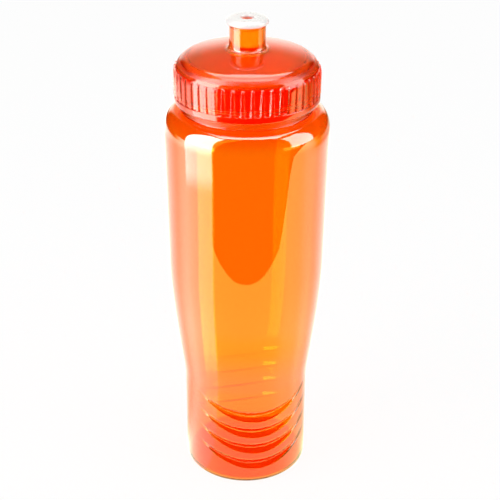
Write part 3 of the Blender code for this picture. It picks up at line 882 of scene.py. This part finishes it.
wave = noise(given["Wave Scale"], detail=1.0)
rub = nodes.times(noise(given["Rub Scale"], detail=3.0), noise(scale=30.0, detail=2.0))
ends = {"From Min": 0.15, "From Max": 0.45, "To Min": given["Smooth"], "To Max": given["Rubbed"]}
rough = nodes.add("ShaderNodeMapRange", {"Value": rub, **ends}).outputs["Result"]
nodes.add("NodeGroupOutput", {"Height": wave, "Roughness": rough})
print("node group", moulded_skin.name, "has", len(moulded_skin.nodes), "nodes")

# %% [markdown]
# ## Silicone and white plastic
#
# Silicone lets most light through, but scatters it on a rough skin. The nozzle is a soft opaque plastic.
# Plain white would look like chalk, so a little light spreads under its surface. One helper makes every
# plastic here.

# %% Silicone and white plastic
PLAIN_RELIEF = 0.05
SILICONE_LOOKS = {"Transmission Weight": 0.95, "IOR": 1.41}
WHITE_LOOKS = {
    "Subsurface Weight": 0.15,
    "Subsurface Radius": (0.004, 0.003, 0.003),
    "Subsurface Scale": 0.5,
}


def plastic(name, colour, skin, bump, looks):
    """A Principled plastic whose roughness and fine relief come from the shared group."""
    material = bpy.data.materials.new(name)
    material.use_nodes = True
    nodes = Nodes(material.node_tree)
    group = nodes.add("ShaderNodeGroup", skin, node_tree=moulded_skin).outputs
    relief = nodes.add("ShaderNodeBump", {"Strength": bump, "Distance": MM, "Height": group["Height"]})
    shader = material.node_tree.nodes["Principled BSDF"]
    surface = {"Normal": relief.outputs["Normal"], "Roughness": group["Roughness"]}
    nodes.plug(shader, {"Base Color": (*colour, 1.0), **surface, **looks})
    return material, shader, nodes


skin = {"Smooth": 0.2, "Rubbed": 0.35}
silicone, _, _ = plastic("milky_silicone", (0.92, 0.86, 0.8), skin, PLAIN_RELIEF, SILICONE_LOOKS)
gasket.data.materials.append(silicone)
skin = {"Smooth": 0.25, "Rubbed": 0.4}
white_plastic, _, _ = plastic("white_nozzle", (0.9, 0.89, 0.88), skin, PLAIN_RELIEF, WHITE_LOOKS)
nozzle.data.materials.append(white_plastic)
print("plain materials:", silicone.name, "and", white_plastic.name)

# %% [markdown]
# ## Clear plastic
#
# Clear plastic is a Principled shader with full transmission. Its base colour is what white light looks
# like after one wall, so two walls give the deep orange of the barrel and four, under the lid, give red.
# Light goes further through a wall that is seen edge on, or where the moulding is thick. A volume shader
# would count that, with more noise, so deeper tints are laid over the thin wall's tint. The shoulder also
# has a coat for its sharp mirror pictures, and the neck is matt, as the photo shows only a haze there.

# %% Clear plastic of the bottle
CLEAR_RELIEF = 0.02
CLEAR_LOOKS = {"Transmission Weight": 1.0, "IOR": 1.5}
TINT = (0.99, 0.365, 0.03)
SHOULDER_TINT = (0.99, 0.19, 0.008)
EDGE_TINT = (0.985, 0.1, 0.01)
BOTTLE_SLANT = 3.0
SHOULDER_DEEP = (196 * MM, 205 * MM)
SHINE_STARTS, SHINE_ENDS = (194 * MM, 199 * MM), (205.3 * MM, 205.0 * MM)
MATT_STARTS = (205.6 * MM, 206.4 * MM)
NECK_ROUGHER = 0.45


def slant(nodes, power):
    """A share that is 0 where the wall is seen straight and 1 where it is seen edge on."""
    weight = nodes.add("ShaderNodeLayerWeight", {"Blend": 0.5})
    return nodes.calc("POWER", weight.outputs["Facing"], power)


def tint_wall(nodes, shader, thin, layers):
    """Base colour of a clear wall: a thin wall's tint, with deeper tints laid over it."""
    tint = (*thin, 1.0)
    for share, deep in layers:
        tint = nodes.blend_colours(share, tint, (*deep, 1.0))
    nodes.plug(shader, {"Base Color": tint})


def add_roughness(nodes, shader, share, more):
    """Makes a share of the piece rougher."""
    before = shader.inputs["Roughness"].links[0].from_socket
    nodes.plug(shader, {"Roughness": nodes.calc("MULTIPLY_ADD", share, more, before)})


def place_in(nodes):
    """Height and distance from the axis, in the piece's own coordinates."""
    place = nodes.add("ShaderNodeTexCoord").outputs["Object"]
    split = nodes.add("ShaderNodeSeparateXYZ", {"Vector": place}).outputs
    return split["Z"], nodes.length(split["X"], split["Y"])


skin = {"Smooth": 0.0, "Rubbed": 0.03}
bottle_plastic, shader, nodes = plastic("clear_orange_bottle", TINT, skin, CLEAR_RELIEF, CLEAR_LOOKS)
height, _ = place_in(nodes)
layers = ((nodes.step(height, *SHOULDER_DEEP), SHOULDER_TINT), (slant(nodes, BOTTLE_SLANT), EDGE_TINT))
tint_wall(nodes, shader, TINT, layers)
shine = nodes.times(nodes.step(height, *SHINE_STARTS), nodes.step(height, *SHINE_ENDS))
nodes.plug(shader, {"Coat Roughness": 0.02, "Coat Weight": shine})
add_roughness(nodes, shader, nodes.step(height, *MATT_STARTS), NECK_ROUGHER)
bottle.data.materials.append(bottle_plastic)
print(bottle_plastic.name, "has", len(bottle_plastic.node_tree.nodes), "nodes")

# %% [markdown]
# The lid is the same plastic in thicker walls, so it turns red towards its rim. Two of its looks come from
# the marks on its points: the inside is rougher, and a rough coat lets the ribs' flanks and the tower's
# fillet catch some of the light from all round.

# %% Clear plastic of the lid
LID_TINT = (0.995, 0.33, 0.03)
LID_EDGE_TINT = (0.995, 0.065, 0.01)
LID_SLANT = 2.5
LID_DEEP = (28.5 * MM, 32.5 * MM)
INSIDE_ROUGHER = 0.3

skin = {"Smooth": 0.02, "Rubbed": 0.08}
lid_plastic, shader, nodes = plastic("clear_orange_lid", LID_TINT, skin, CLEAR_RELIEF, CLEAR_LOOKS)
inside = nodes.add("ShaderNodeAttribute", attribute_name="inside")
add_roughness(nodes, shader, inside.outputs["Fac"], INSIDE_ROUGHER)
catch = nodes.add("ShaderNodeAttribute", attribute_name="catches_light")
nodes.plug(shader, {"Coat Roughness": 0.4, "Coat IOR": 1.8, "Coat Weight": catch.outputs["Fac"]})
_, radius = place_in(nodes)
layers = ((nodes.step(radius, *LID_DEEP), LID_EDGE_TINT), (slant(nodes, LID_SLANT), EDGE_TINT))
tint_wall(nodes, shader, LID_TINT, layers)
lid.data.materials.append(lid_plastic)
print(lid_plastic.name, "has", len(lid_plastic.node_tree.nodes), "nodes")

# %% [markdown]
# ## What the plastic sees
#
# Clear plastic shows little of itself and much of its studio, here white paper between two tall soft boxes.
# Lit planes could build it, but one brightness would have to suit mirrored, bent and plain rays alike, so
# nodes tell these apart. Rays that came through the plastic see an even level, brighter for every further
# wall, and, once mirrored, the left box as a strip. Light for a matt piece inside is stronger, as the
# plastic takes its share twice.

# %% Light through the plastic
SEEN_THROUGH = 1.07
MORE_PER_WALL, FREE_WALLS = 0.2, 4.0
SEEN_BY_MATT = 6.5
LEFT_BOX = 11.0
STRIP = (-70.0, -45.0, 2.0)
AT_LEAST_ONE = (0.4, 0.6)
BLUE_LACK, LEAST_LACK, LEAST_BLUE = 3.7, 0.15, 0.1


def mirrored(nodes, ray):
    """1 for rays that the plastic has mirrored at least once on their way."""
    return nodes.step(ray["Glossy Depth"], *AT_LEAST_ONE)


def seen_through(nodes, ray, azimuth, box_share):
    """The level for rays that came through the plastic."""
    strip = nodes.times(nodes.band(azimuth, *STRIP), box_share, mirrored(nodes, ray))
    matt = nodes.step(ray["Diffuse Depth"], *AT_LEAST_ONE)
    walls = nodes.calc("MAXIMUM", nodes.calc("SUBTRACT", ray["Transmission Depth"], FREE_WALLS), 0.0)
    plain = nodes.calc("ADD", nodes.times(walls, MORE_PER_WALL), SEEN_THROUGH)
    return nodes.mix(matt, nodes.mix(strip, plain, LEFT_BOX), SEEN_BY_MATT)


def warm(nodes, level, aside, share):
    """A colour of that level whose blue is lower, most so in front of the bottle."""
    lack = nodes.calc("ADD", nodes.times(nodes.step(aside, 135, 35), share, BLUE_LACK), LEAST_LACK)
    blue = nodes.calc("MAXIMUM", nodes.calc("SUBTRACT", level, lack), nodes.times(level, LEAST_BLUE))
    inputs = {"Red": level, "Green": level, "Blue": blue}
    return nodes.add("ShaderNodeCombineColor", inputs).outputs["Color"]


def turned(nodes, output):
    """Sideways, frontways and upward parts of a place or a direction, as seen from the camera. Then its
    degrees to the right of the camera, and how far to either side that is."""
    place = nodes.add("ShaderNodeTexCoord").outputs[output]
    turn = nodes.add("ShaderNodeMapping", {"Vector": place, "Rotation": (0.0, 0.0, CAMERA_TURN)})
    split = nodes.add("ShaderNodeSeparateXYZ", {"Vector": turn.outputs["Vector"]}).outputs
    front = nodes.times(split["Y"], -1.0)
    azimuth = nodes.calc("DEGREES", nodes.calc("ARCTAN2", split["X"], front))
    return split["X"], front, split["Z"], azimuth, nodes.calc("ABSOLUTE", azimuth)


print("through the plastic the studio has a level of", SEEN_THROUGH)

# %% [markdown]
# ## The glow of the paper
#
# The floor is one plane. To the plastic it glows by place: bright before the bottle up to the paper's
# curved front edge, brighter where the left box lights it, and dimmer behind. Near the base the glow is
# darker all round, a painted shadow of the bottle. The front edge, where the dark room begins, is the round
# end of the dark tongue on the barrel. Real cards could do this, but each would light all the others.

# %% Glow of the paper
PAPER_EDGE, EDGE_BEND, BEND_ENDS = 0.2505, 0.93, 0.045
LEFT_EDGE, LEFT_END = -46.5, -90.0
PAPER_LEVEL, PAPER_RIGHT = 4.5, 3.5
LEFT_NEAR, LEFT_FAR = 4.8, 5.0
BEHIND, BEHIND_RIGHT, BACKDROP = 2.0, 0.6, 1.4
# Share of the glow that is left near the base: a painted shadow of the bottle on the paper.
PAINTED_BASE_SHADOW = 0.6

bpy.ops.object.select_all(action="DESELECT")
bpy.ops.mesh.primitive_plane_add(size=6.0, location=(0.0, 0.0, -0.0005))
floor = bpy.context.object
floor.name = "floor"
floor_paper = bpy.data.materials.new("white_paper")
floor_paper.use_nodes = True
tree = floor_paper.node_tree
tree.nodes.remove(tree.nodes["Principled BSDF"])
nodes = Nodes(tree)
calc, times, mix, step, band = nodes.words()
side, front, _, azimuth, aside = turned(nodes, "Object")
away = nodes.length(side, front)
ray = nodes.add("ShaderNodeLightPath").outputs
through = ray["Is Transmission Ray"]

bend = calc("MINIMUM", times(side, side), BEND_ENDS)
edge = calc("SUBTRACT", PAPER_EDGE, times(bend, EDGE_BEND))
on_paper = step(calc("SUBTRACT", front, edge), 0.002, -0.002)
left = step(azimuth, LEFT_EDGE + 1.5, LEFT_EDGE - 1.5)
level = times(mix(step(azimuth, 55, 85), PAPER_LEVEL, PAPER_RIGHT), on_paper)
level = mix(left, level, mix(step(away, 0.1, 0.25), LEFT_NEAR, LEFT_FAR))
backdrop = times(step(aside, 155, 168), BACKDROP)
far_right = times(step(away, 0.45, 0.55), step(side, 0.0, 0.1))
behind = mix(far_right, BEHIND, BEHIND_RIGHT)
behind = mix(step(away, 0.75, 1.1), behind, backdrop)
level = mix(step(aside, 85, 115), level, behind)
# Near the base the glow is darker all round: a painted shadow of the bottle on the paper.
level = times(level, mix(step(away, 0.06, 0.15), PAINTED_BASE_SHADOW, 1.0))
far_left = times(band(azimuth, LEFT_END, LEFT_EDGE, 1.5), step(away, 0.38, 0.42))
level = mix(far_left, level, LEFT_BOX)
level = mix(through, level, seen_through(nodes, ray, azimuth, step(away, 0.08, 0.12)))
print("the paper's front edge is", round(PAPER_EDGE / MM), "mm before the axis")

# %% [markdown]
# ## White paper
#
# Now the glow gets its warm colour, and red under the base, where only light from the bottle comes. To the
# camera the plane is white paper with a faint shadow. A shadow catcher would need the compositor, so a
# little of a lit diffuse shader is mixed into plain white.

# %% White paper
UNDER_BASE = (0.95, 0.05, 0.002, 1.0)
NEAR_BLUE, LEFT_BLUE = 0.35, 0.55
PAPER_WHITE = (0.95, 0.95, 0.95, 1.0)
CAMERA_WHITE = 0.9

near = mix(step(away, 0.07, 0.13), NEAR_BLUE, 1.0)
colour = warm(nodes, level, aside, times(near, mix(left, 1.0, LEFT_BLUE)))
colour = nodes.blend_colours(step(away, 0.033, 0.030), colour, UNDER_BASE)
glow = nodes.add("ShaderNodeEmission", {"Color": colour}).outputs["Emission"]
lit = nodes.add("ShaderNodeBsdfDiffuse", {"Color": PAPER_WHITE}).outputs["BSDF"]
white = nodes.add("ShaderNodeEmission").outputs["Emission"]
camera_share = times(ray["Is Camera Ray"], CAMERA_WHITE)
plain = nodes.add("ShaderNodeMixShader", {"Fac": camera_share, 1: lit, 2: white}).outputs["Shader"]
shiny = calc("MAXIMUM", ray["Is Glossy Ray"], through)
seen = nodes.add("ShaderNodeMixShader", {"Fac": shiny, 1: plain, 2: glow}).outputs["Shader"]
nodes.plug(tree.nodes["Material Output"], {"Surface": seen})
floor.data.materials.append(floor_paper)
print("floor laid, its paper has", len(tree.nodes), "nodes")

# %% [markdown]
# ## Soft boxes
#
# Above the horizon the studio is drawn in the world, by direction: tall soft boxes on both sides, a light
# overhead, pale paper behind and a dark room in front. Mirrored rays also find two low glints. An image
# could be wrapped round instead, but the edges of these boxes fall on exact places of the barrel.

# %% Soft boxes
RIGHT_EDGE, RIGHT_END = 62.0, 100.0
BACK_LOW, BACK_HIGH, BACK_TOP = 1.6, 0.4, 0.4
RIGHT_BOX, LEFT_BOX_MIRRORED = 7.0, 13.0
OVERHEAD_BACK, OVERHEAD_MIDDLE, OVERHEAD_FRONT = 6.5, 4.2, 8.0
LEFT_GLINT, RIGHT_GLINT = 45.0, 10.0

world = bpy.data.worlds.new("studio")
bpy.context.scene.world = world
world.use_nodes = True
world.cycles.sampling_method = "NONE"
nodes = Nodes(world.node_tree)
calc, times, mix, step, band = nodes.words()
side, front, up, azimuth, aside = turned(nodes, "Generated")
height = calc("DEGREES", calc("ARCSINE", up))
ray = nodes.add("ShaderNodeLightPath").outputs

back = mix(step(height, 4, 26), BACK_LOW, BACK_HIGH)
top = times(step(height, 45, 70), step(front, 0.05, -0.05), BACK_TOP)
light = calc("MAXIMUM", times(back, step(aside, 150, 160)), top)
right_box = times(band(azimuth, RIGHT_EDGE, RIGHT_END, 2.0), step(height, 52, 48))
light = mix(right_box, light, RIGHT_BOX)
across = band(calc("DIVIDE", side, up), -0.45, 0.56, 0.03)
along = calc("DIVIDE", front, up)
overhead = mix(step(along, -0.45, -0.35), OVERHEAD_BACK, OVERHEAD_MIDDLE)
overhead = mix(step(along, -0.06, 0.0), overhead, OVERHEAD_FRONT)
overhead_spot = times(across, band(along, -0.8, 0.24, 0.02), step(height, 20, 30))
light = mix(overhead_spot, light, overhead)
left_box = times(band(azimuth, LEFT_END, LEFT_EDGE, 1.5), step(height, 62, 58))
light = mix(left_box, light, LEFT_BOX_MIRRORED)

low = times(band(height, 2, 18, 2.0), mirrored(nodes, ray))
seen = seen_through(nodes, ray, azimuth, 1.0)
seen = mix(times(low, band(azimuth, -85, -46, 3.0)), seen, LEFT_GLINT)
seen = mix(times(low, band(azimuth, 52, 76, 3.0)), seen, RIGHT_GLINT)
print("soft boxes drawn with", len(world.node_tree.nodes), "nodes")

# %% [markdown]
# ## Which ray sees what
#
# The camera sees plain white, and matt surfaces an even light below white, so that the nozzle keeps its
# shading. Only mirrored and bent rays see the boxes, which would burn out the nozzle. Importance sampling
# is off, so that rays aren't steered to the boxes.

# %% Kinds of ray
PLAIN_LIGHT = 0.79
SKY_WARMTH = 0.3

through = ray["Is Transmission Ray"]
shiny = calc("MAXIMUM", ray["Is Glossy Ray"], through)
colour = warm(nodes, mix(through, light, seen), aside, SKY_WARMTH)
sky = nodes.blend_colours(shiny, mix(ray["Is Camera Ray"], PLAIN_LIGHT, 1.0), colour)
nodes.plug(world.node_tree.nodes["Background"], {"Color": sky, "Strength": 1.0})
print("studio drawn with", len(world.node_tree.nodes), "nodes")

# %% [markdown]
# ## Lamps and limits
#
# Two weak area lamps stand where the soft boxes are. They shape the white nozzle and cast the faint shadow,
# and the plastic doesn't mirror them, because the boxes are drawn already. A sun's shadow would be too
# hard. Light crosses many walls here, so more bounces are allowed than usual.

# %% Lamps and render limits
LAMP_SIZE = 0.6
LAMP_TARGET = Vector((0.0, 0.0, 0.12))


def soft_lamp(name, turn_deg, up_deg, away, watts):
    """An area lamp that looks at the middle of the bottle."""
    lamp = bpy.data.lights.new(name, "AREA")
    lamp.size = LAMP_SIZE
    lamp.energy = watts
    piece = bpy.data.objects.new(name, lamp)
    bpy.context.scene.collection.objects.link(piece)
    direction = Vector((math.sin(math.radians(turn_deg)), -math.cos(math.radians(turn_deg)), 0.0))
    direction *= math.cos(math.radians(up_deg))
    direction.z = math.sin(math.radians(up_deg))
    piece.location = direction * away + LAMP_TARGET
    piece.rotation_euler = direction.to_track_quat("Z", "Y").to_euler()
    piece.visible_glossy = False
    piece.visible_transmission = False
    print(name, "has", watts, "W")


soft_lamp("left_box", -72, 35, 0.9, 2.6)
soft_lamp("right_box", 60, 30, 1.0, 1.6)

scene = bpy.context.scene
scene.view_settings.view_transform = "Standard"
scene.cycles.max_bounces = 24
scene.cycles.transmission_bounces = 24
scene.cycles.glossy_bounces = 12

# %% [markdown]
